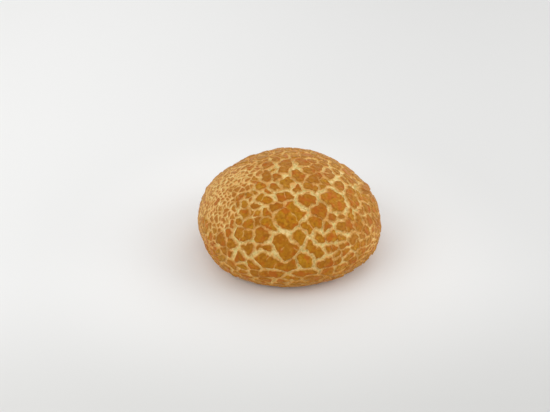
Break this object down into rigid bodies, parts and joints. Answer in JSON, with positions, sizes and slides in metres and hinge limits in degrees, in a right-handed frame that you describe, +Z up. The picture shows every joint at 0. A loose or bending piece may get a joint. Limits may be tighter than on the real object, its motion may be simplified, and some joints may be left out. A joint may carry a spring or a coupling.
{
  "type": "tiger bread roll",
  "caption": "Round domed bread roll with a flat foot, its baked rice-paste coat cracked into raised plates over the whole dome",
  "frame": {"origin": "under the middle of the roll, on the surface that it stands on", "axes": "+Z up out of the dome; -Y is the front, the side with the largest plates; +X is to the right of someone who looks at the front"},
  "size_m": [0.1099, 0.1097, 0.0564],
  "materials": {
    "baked_crust": "baked bread crust: matt to satin amber brown plates with pale straw-coloured cracks"
  },
  "bodies": {
    "root": {"tiger_bread_roll": "baked_crust"}
  },
  "joints": []
}
